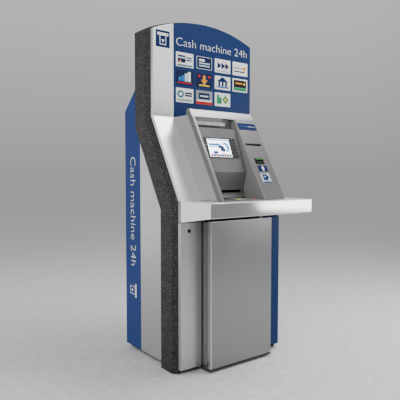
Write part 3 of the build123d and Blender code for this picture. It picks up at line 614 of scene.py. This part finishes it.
def header_graphics():
    left = low("header_sign_panel").x + 19 * MM
    top = HEAD_Z + 398 * MM
    title_z = HEAD_Z + 457 * MM
    y = HEAD_Y - 0.2 * MM
    for i, (ground, shapes) in enumerate(TILES):
        row, col = divmod(i, TILE_COLUMNS)
        x = left + TILE_STEP_X * col + TILE_W / 2
        z = top - TILE_STEP_Z * row - TILE_H / 2
        sign(f"header_tile_{i + 1:02d}", TILE_W, TILE_H, ground, shapes,
             placing((x, y, z), (1, 0, 0), (0, 0, 1)), "kiosk")
    lettering("header_title", TITLE, 52 * MM, ink("white"),
              placing((left + 291 * MM, y, title_z), (1, 0, 0), (0, 0, 1)), "kiosk", 576 * MM, thin=0.027)
    x = (low("header_side_strip").x + high("header_side_strip").x) / 2 - 3 * MM
    note_mark("header_mark", 99 * MM, placing((x, y, title_z), (1, 0, 0), (0, 0, 1)), "kiosk")


def side_graphics():
    """Title and mark on the film of both side panels, reading downwards."""
    foot = low("side_panel_left").z
    y = REAR_Y - FILM_DEPTH / 2
    for side, letter in ((-1, "left"), (1, "right")):
        x = side * (SIDE_X + 0.1 * MM)
        title = placing((x, y, foot + 867 * MM), (0, 0, -1), (0, side, 0))
        lettering(f"side_title_{letter}", TITLE, 66 * MM, ink("white"), title, "kiosk", 690 * MM)
        mark = placing((x, y, foot + 364 * MM), (0, 0, -1), (0, side, 0))
        note_mark(f"side_mark_{letter}", 112 * MM, mark, "kiosk", "film")


# ---- fascia details ----------------------------------------------------------------------
def on_slope(corner, lean, x, z, lift):
    """Placing at x and z on the plane that leans back from corner, lift out from it."""
    up = Vector((0, lean, 1)).normalized()
    out = Vector((1, 0, 0)).cross(up)
    y = corner.y + lean * (z - corner.z)
    return placing(Vector((x, y, z)) + out * lift, (1, 0, 0), up)


def on_face(x, z, lift=0.0):
    return on_slope(low("fascia_shell"), SLOPE, x, z, lift)


def on_screen(x, z, lift):
    return on_slope(SCREEN_LOW, SCREEN_LEAN, x, z, lift)


def labels():
    """Plaque, arrow and card labels: plain shapes, no wording."""
    lo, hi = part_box("fascia_labels")
    middle = (lo.x + hi.x) / 2
    dashes = [("rect", -0.80 + 0.10 * i, 0.10 - 0.012 * i, 0.03, 0.10, "sky", 0) for i in range(8)]
    dashes += [("rect", 0.10 + 0.10 * i, -0.012 * i, 0.03, 0.11, "pale", 0) for i in range(8)]
    arrow = [("rect", 0.05, -0.30, 0.17, 0.50, "white", 0), (3, 0.05, 0.32, 0.40, 0.62, "white", 90)]
    card = [("rect", -0.12, 0.16, 0.52, 0.66, "blue", 0), (3, 0.34, 0.16, 0.50, 0.66, "blue", 0),
            ("rect", -0.16, 0.34, 0.26, 0.10, "pale", 0), ("rect", -0.16, 0.12, 0.26, 0.06, "sky", 0),
            ("rect", -0.16, -0.04, 0.26, 0.06, "sky", 0), ("rect", 0.0, -0.86, 0.90, 0.12, "blue", 0)]
    plaque = sign("plaque", hi.x - lo.x, 52 * MM, "blue", dashes + [("rect", 0, 0.92, 0.98, 0.03, "pale", 0)],
                  on_face(middle, hi.z - 23 * MM), "fascia_unit", 1.0 * MM, 2 * MM)
    sign("arrow_label", 75 * MM, 41 * MM, "blue", arrow,
         on_face(middle - 4.5 * MM, lo.z + 87 * MM), "fascia_unit", 0.8 * MM, 2 * MM)
    sign("card_label", 72 * MM, 64 * MM, "pale", card,
         on_face(middle - 8 * MM, lo.z + 30 * MM), "fascia_unit", 0.8 * MM, 2 * MM)
    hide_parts("fascia_labels")


def card_lights():
    """Two lit bars in the card reader's mouth, the lower one dim."""
    lo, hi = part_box("card_reader")
    bars = (
        ("card_light_upper", hi.z - 8.5 * MM, 6 * MM, glow("card_green", (0.006, 0.36, 0.012), 0.55)),
        ("card_light_lower", lo.z + 9.5 * MM, 3 * MM, glow("card_dim", (0.005, 0.13, 0.006), 0.25)),
    )
    for name, z, tall, mat in bars:
        def make(bm):
            add_plate(bm, outline_points("rect", 54 * MM, tall, 1.4 * MM), 0, 0, 0, 1.2 * MM)
        build_piece(name, make, [mat], on_face((lo.x + hi.x) / 2, z, 4.4 * MM), "fascia_unit")


def receipt_lip():
    """Bright bar along the receipt slot's lower edge, turned up at its left end."""
    lo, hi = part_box("receipt_slot")
    wide = hi.x - lo.x
    bar = 3.6 * MM
    soft = 1.6 * MM

    def make(bm):
        add_plate(bm, outline_points("rect", wide, bar, soft), 0, 0, 0, 2.2 * MM)
        add_plate(bm, outline_points("rect", bar, 13 * MM, soft), (bar - wide) / 2, 5 * MM, 0, 2.1 * MM)

    place = on_face((lo.x + hi.x) / 2, lo.z + 1.5 * MM, 0.2 * MM)
    build_piece("receipt_lip", make, [MATS["rim"]], place, "fascia_unit")


PAGE, BAND, FIGURE, WARM, MID, LEAF = range(6)
PICTURE = [                    # kind, x and y in half pages from the middle, w and h in half pages, tone
    ("rect", 0.0, 0.88, 1.94, 0.14, BAND),
    ("rect", -0.36, 0.36, 1.10, 0.30, BAND),
    ("rect", -0.46, 0.10, 0.90, 0.10, BAND),
    (32, 0.60, 0.10, 0.66, 1.10, BAND),
    (32, 0.46, 0.0, 0.40, 0.80, PAGE),
    ("rect", -0.44, 0.36, 0.80, 0.08, MID),
    ("rect", -0.48, 0.12, 0.52, 0.06, BAND),
    ("rect", 0.16, 0.10, 0.50, 0.28, FIGURE),
    (24, 0.30, -0.20, 0.48, 0.50, FIGURE),
    (24, 0.33, -0.24, 0.20, 0.24, MID),
    ("rect", 0.26, -0.58, 0.50, 0.07, MID),
    ("rect", -0.44, -0.52, 0.42, 0.32, MID),
    ("rect", -0.36, -0.56, 0.20, 0.16, FIGURE),
]
BUTTONS = (WARM, FIGURE, WARM, MID, FIGURE, WARM, LEAF, FIGURE)
PICTURE += [("rect", -0.83 + 0.238 * i, -0.84, 0.215, 0.27, tone) for i, tone in enumerate(BUTTONS)]


def display_picture():
    """Lit picture of the display: a pale page with a title band, swooshes, figures and buttons."""
    tones = [glow("page", (0.84, 0.96, 1.0), 5.5), glow("band", (0.10, 0.38, 0.80), 1.5),
             glow("figure", (0.004, 0.022, 0.18), 0.25), glow("warm", (0.60, 0.02, 0.01), 0.6),
             glow("mid", (0.02, 0.13, 0.55), 0.7), glow("leaf", (0.02, 0.30, 0.05), 0.5)]
    lo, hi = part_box("display_module")
    w = hi.x - lo.x - 14 * MM
    h = (hi.z - lo.z - 1.6 * MM) * math.sqrt(1 + SCREEN_LEAN ** 2)

    def make(bm):
        add_plate(bm, outline_points("rect", w, h, 1 * MM), 0, 0, 0, 0.4 * MM)
        for i, (kind, cx, cy, sw, sh, tone) in enumerate(PICTURE):
            points = outline_points(kind, sw * w / 2, sh * h / 2, 1 * MM)
            add_plate(bm, points, cx * w / 2, cy * h / 2, 0.2 * MM, (0.5 + 0.04 * i) * MM, tone)

    place = on_screen((lo.x + hi.x) / 2, (lo.z + hi.z) / 2, -1.9 * MM)
    build_piece("display_picture", make, tones, place, "fascia_unit")


def keypad():
    """Keypad keys with their legends, front row first, and the display keys with their marks."""
    for node, legend in zip(KEY_NODES, "X0O<789456123"):
        refine(node, 0.5 * MM)
        lo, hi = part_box(node)
        place = placing(((lo.x + hi.x) / 2, (lo.y + hi.y) / 2, hi.z + 0.05 * MM), (1, 0, 0), (0, 1, 0))
        tone = "black" if legend in "XO<" else "white"
        lettering(node + "_legend", legend, 9 * MM, ink(tone), place, NODES[node]["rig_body"], None, 0.1 * MM)
    middle = (SCREEN_LOW.x + SCREEN_HIGH.x) / 2
    for node in SIDE_KEY_NODES:
        # The keys left of the display are made white and those right of it black, with their marks the other
        # way round. The white is a painted highlight on the keys that catch the light from the left.
        on_left = low(node).x < middle
        refine(node, EDGE, 3, [MATS["key_w" if on_left else "side_key"]])
        side_key_mark(node, "side_key" if on_left else "key_w", 1 if on_left else -1)


def side_key_mark(node, mat, way):
    """Small arrow on a display key, pointing at the display."""
    lo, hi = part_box(node)
    tall = 0.3 * MM

    def make(bm):
        turn = 0 if way > 0 else math.pi
        add_plate(bm, outline_points(3, 5 * MM, 5 * MM, 0, turn), way * 3.6 * MM, 0, 0, tall)
        add_plate(bm, outline_points("rect", 6 * MM, 1.6 * MM, 0.3 * MM), way * -1.2 * MM, 0, 0, tall)

    place = on_screen((lo.x + hi.x) / 2, (lo.z + hi.z) / 2, 2.45 * MM)
    build_piece(node + "_mark", make, [MATS[mat]], place, NODES[node]["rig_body"])


def recess_studs():
    """Two columns of four small studs on the recess's right wall, beside the display."""
    wall = SCREEN_HIGH.x + 35 * MM
    middle = (SCREEN_LOW.z + SCREEN_HIGH.z) / 2 - 16 * MM
    places = []
    for row in range(4):
        z = middle + (row - 1.5) * 16.5 * MM
        for ahead in (15 * MM, 38 * MM):
            y = SCREEN_LOW.y + SCREEN_LEAN * (z - SCREEN_LOW.z) - ahead + 5 * MM * row
            places.append((wall + 0.1 * MM, y, z))
    screw_heads("recess_studs", places, 2.3 * MM, 1.1 * MM, "fascia_unit", (0, -1, 0), (0, 0, 1))


# ---- rear and service details ------------------------------------------------------------
DOME = ((1.0, 0.0), (1.0, 0.35), (0.85, 0.70), (0.5, 0.93), (0.16, 1.0))   # shares of radius and rise
DOME_SIDES = 16


def screw_heads(name, places, radius, rise, body, right, up):
    """Domed screw heads, all in one piece."""
    turns = [2 * math.pi * i / DOME_SIDES for i in range(DOME_SIDES)]

    def make(bm):
        for point in places:
            place = placing(point, right, up)
            loops = []
            for out, height in DOME:
                r = radius * out
                ring = [Vector((r * math.cos(a), r * math.sin(a), rise * height)) for a in turns]
                loops.append([bm.verts.new(place @ v) for v in ring])
            for a, b in zip(loops, loops[1:]):
                for i in range(DOME_SIDES):
                    j = (i + 1) % DOME_SIDES
                    bm.faces.new((a[i], a[j], b[j], b[i]))
            bm.faces.new(list(reversed(loops[0])))
            bm.faces.new(loops[-1])

    build_piece(name, make, [MATS["zinc"]], Matrix.Identity(4), body)


def levels(values):
    """Sorted values with those closer than 0.1 mm merged."""
    kept = []
    for value in sorted(values):
        if not kept or value - kept[-1] > 0.1 * MM:
            kept.append(value)
    return kept


BLADE_DEEP = 12 * MM           # how far the louvre blades reach in from the rear panel
BLADE_LAP = 3 * MM             # how far they reach past their slot below and above
SLOT_WIDE = 60 * MM            # louvre slots are wider than this, the inlet's opening is narrower


def louvre_blade(bm, x0, x1, y, z0, z1):
    """Sheet behind a slot from z0 to z1 in a panel whose inner face is at y, rising inwards."""
    foot, top, sheet = z0 - BLADE_LAP, z1 + BLADE_LAP, 1 * MM
    near, far = y - 0.1 * MM, y - BLADE_DEEP
    outline = ((near, foot), (near - sheet, foot), (far - sheet, top), (far, top))
    left = [bm.verts.new((x0, *place)) for place in outline]
    right = [bm.verts.new((x1, *place)) for place in outline]
    faces = [bm.faces.new((left[i], left[(i + 1) % 4], right[(i + 1) % 4], right[i])) for i in range(4)]
    faces += [bm.faces.new(list(reversed(left))), bm.faces.new(right)]
    # The blades take the dark liner paint rather than the panel's steel: painted shade inside the slots.
    for face in faces:
        face.material_index = 1


def rear_skin():
    """Rear panel rebuilt on the CAD panel's own grid of slots, with a blade behind each slot.

    Its face lies a screw head's height inside the CAD panel's, so that the heads stay inside the box.
    """
    source = NODES["rear_panel"]
    points = [source.matrix_world @ v.co for v in source.data.vertices]
    surface = BVHTree.FromPolygons(points, [tuple(p.vertices) for p in source.data.polygons])
    lo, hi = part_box("rear_panel")
    xs = levels(p.x for p in points)
    zs = levels(p.z for p in points)
    depths = (lo.y, hi.y - SCREW_RISE)

    def solid(i, k):
        """Whether the CAD panel fills the grid's cell in column i and row k."""
        if not (0 <= i < len(xs) - 1 and 0 <= k < len(zs) - 1):
            return False
        start = Vector(((xs[i] + xs[i + 1]) / 2, hi.y + 0.1, (zs[k] + zs[k + 1]) / 2))
        hit = surface.ray_cast(start, Vector((0, -1, 0)))[0]
        return hit is not None and hit.y > hi.y - 0.5 * MM

    def make(bm):
        corners = {}

        def corner(i, k, side):
            key = (i, k, side)
            if key not in corners:
                corners[key] = bm.verts.new((xs[i], depths[side], zs[k]))
            return corners[key]

        def cell(i, k):
            for side in (0, 1):
                bm.faces.new((corner(i, k, side), corner(i + 1, k, side),
                              corner(i + 1, k + 1, side), corner(i, k + 1, side)))
            for di, dk, a, b in ((-1, 0, (0, 0), (0, 1)), (1, 0, (1, 0), (1, 1)),
                                 (0, -1, (0, 0), (1, 0)), (0, 1, (0, 1), (1, 1))):
                if not solid(i + di, k + dk):
                    start, end = (i + a[0], k + a[1]), (i + b[0], k + b[1])
                    bm.faces.new((corner(*start, 0), corner(*end, 0), corner(*end, 1), corner(*start, 1)))

        def opening(i, k):
            """Blade for the slot that starts in column i, if one does."""
            last = i
            while last + 1 < len(xs) - 1 and not solid(last + 1, k):
                last += 1
            if solid(i - 1, k) and xs[last + 1] - xs[i] > SLOT_WIDE:
                louvre_blade(bm, xs[i] - 2 * MM, xs[last + 1] + 2 * MM, lo.y, zs[k], zs[k + 1])

        for i in range(len(xs) - 1):
            for k in range(len(zs) - 1):
                if solid(i, k):
                    cell(i, k)
                else:
                    opening(i, k)

    # The second material, the dark liner paint, goes on the blades as painted shade in the slots.
    skin = build_piece("rear_panel_skin", make, [MATS["silver"], MATS["liner"]], Matrix.Identity(4),
                       source["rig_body"])
    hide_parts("rear_panel")


def rear_screws():
    """Screws round the rear panel: eight up each side and three along the foot and the top."""
    lo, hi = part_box("rear_panel")
    y = hi.y - SCREW_RISE
    inset = 14 * MM
    first = lo.z + 40 * MM
    step = (hi.z - lo.z - 80 * MM) / 7
    places = []
    for i in range(8):
        places += [(x, y, first + i * step) for x in (lo.x + inset, hi.x - inset)]
    for i in range(1, 4):
        places += [(lo.x + i * (hi.x - lo.x) / 4, y, z) for z in (lo.z + inset, hi.z - inset)]
    screw_heads("rear_screws", places, 6 * MM, SCREW_RISE - 0.05 * MM, "kiosk", (-1, 0, 0), (0, 0, 1))


# ---- stage, light and camera -------------------------------------------------------------
FLOOR_HALF = 30.0
WORLD_FRONT = 0.22             # the surround's strength everywhere
WORLD_BACK = 0.36              # added behind the kiosk
WORLD_TOP = 0.15               # added overhead
LIGHTS = (                     # name, place, aim, width, height, power in watts
    ("overhead", (1.45, -0.80, 3.90), (0.0, 0.0, 1.35), 2.0, 1.1, 85),
    ("right", (2.58, -1.78, 1.36), (0.1, -0.35, 1.1), 2.0, 1.3, 46),
    ("front", (1.35, -2.55, 2.62), (-0.2, 0.1, 1.75), 1.2, 1.0, 9),
    ("left_rear", (-2.3, 3.1, 1.25), (-0.4, 0.2, 1.0), 2.2, 2.4, 19),
    ("left_front", (-3.4, -2.2, 3.0), (0.0, 0.0, 1.1), 1.6, 1.6, 75),
)


def area_light(name, place, aim, width, height, power):
    lamp = bpy.data.lights.new(name, "AREA")
    lamp.shape = "RECTANGLE"
    lamp.size = width
    lamp.size_y = height
    lamp.energy = power
    obj = bpy.data.objects.new(name, lamp)
    obj.location = place
    obj.rotation_mode = "QUATERNION"
    obj.rotation_quaternion = (Vector(aim) - Vector(place)).to_track_quat("-Z", "Y")
    bpy.context.scene.collection.objects.link(obj)


def stage():
    mesh = bpy.data.meshes.new("floor")
    s = FLOOR_HALF
    mesh.from_pydata([(-s, -s, 0), (s, -s, 0), (s, s, 0), (-s, s, 0)], [], [(0, 1, 2, 3)])
    floor = bpy.data.objects.new("floor", mesh)
    mesh.materials.append(plastic("floor_paint", (0.80, 0.80, 0.80), 0.75, 200.0, 0.05))
    bpy.context.scene.collection.objects.link(floor)


def studio():
    """Pale surround, brighter behind the kiosk and overhead, with five softboxes."""
    world = bpy.data.worlds.new("studio")
    bpy.context.scene.world = world
    world.use_nodes = True
    tree = world.node_tree
    coord = tree.nodes.new("ShaderNodeTexCoord")
    split = tree.nodes.new("ShaderNodeSeparateXYZ")
    tree.links.new(coord.outputs["Generated"], split.inputs["Vector"])
    behind = ramp(tree, split.outputs["Y"], (0.0, 0.0), (0.55, 1.0))
    sweep = ramp(tree, split.outputs["Z"], (0.0, 0.45), (0.32, 1.0))
    above = ramp(tree, split.outputs["Z"], (0.0, 0.0), (0.85, 1.0))
    wall = arithmetic(tree, "MULTIPLY", behind, sweep)
    tone = arithmetic(tree, "ADD", arithmetic(tree, "MULTIPLY", wall, WORLD_BACK), WORLD_FRONT)
    tone = arithmetic(tree, "ADD", arithmetic(tree, "MULTIPLY", above, WORLD_TOP), tone)
    tree.links.new(tone, tree.nodes["Background"].inputs["Strength"])
    tree.nodes["Background"].inputs["Color"].default_value = (0.985, 0.99, 1.0, 1)
    for light in LIGHTS:
        area_light(*light)


def camera():
    """The viewpoint: to the user's left, a little above the shelf, looking slightly down."""
    turn = math.radians(37.265)
    dip = math.radians(3.059)
    focal = 1.241125               # focal length over the frame's width
    data = bpy.data.cameras.new("camera")
    data.sensor_width = 36.0
    data.lens = focal * data.sensor_width
    data.clip_end = 100.0
    obj = bpy.data.objects.new("camera", data)
    obj.location = (-1.9567, -2.4123, 1.1370)
    obj.rotation_euler = (math.pi / 2 - dip, 0, -turn)
    bpy.context.scene.collection.objects.link(obj)
    bpy.context.scene.camera = obj


kiosk_panels()
fascia_panels()
header_graphics()
side_graphics()
labels()
card_lights()
receipt_lip()
display_picture()
keypad()
recess_studs()
rear_screws()
stage()
studio()
camera()
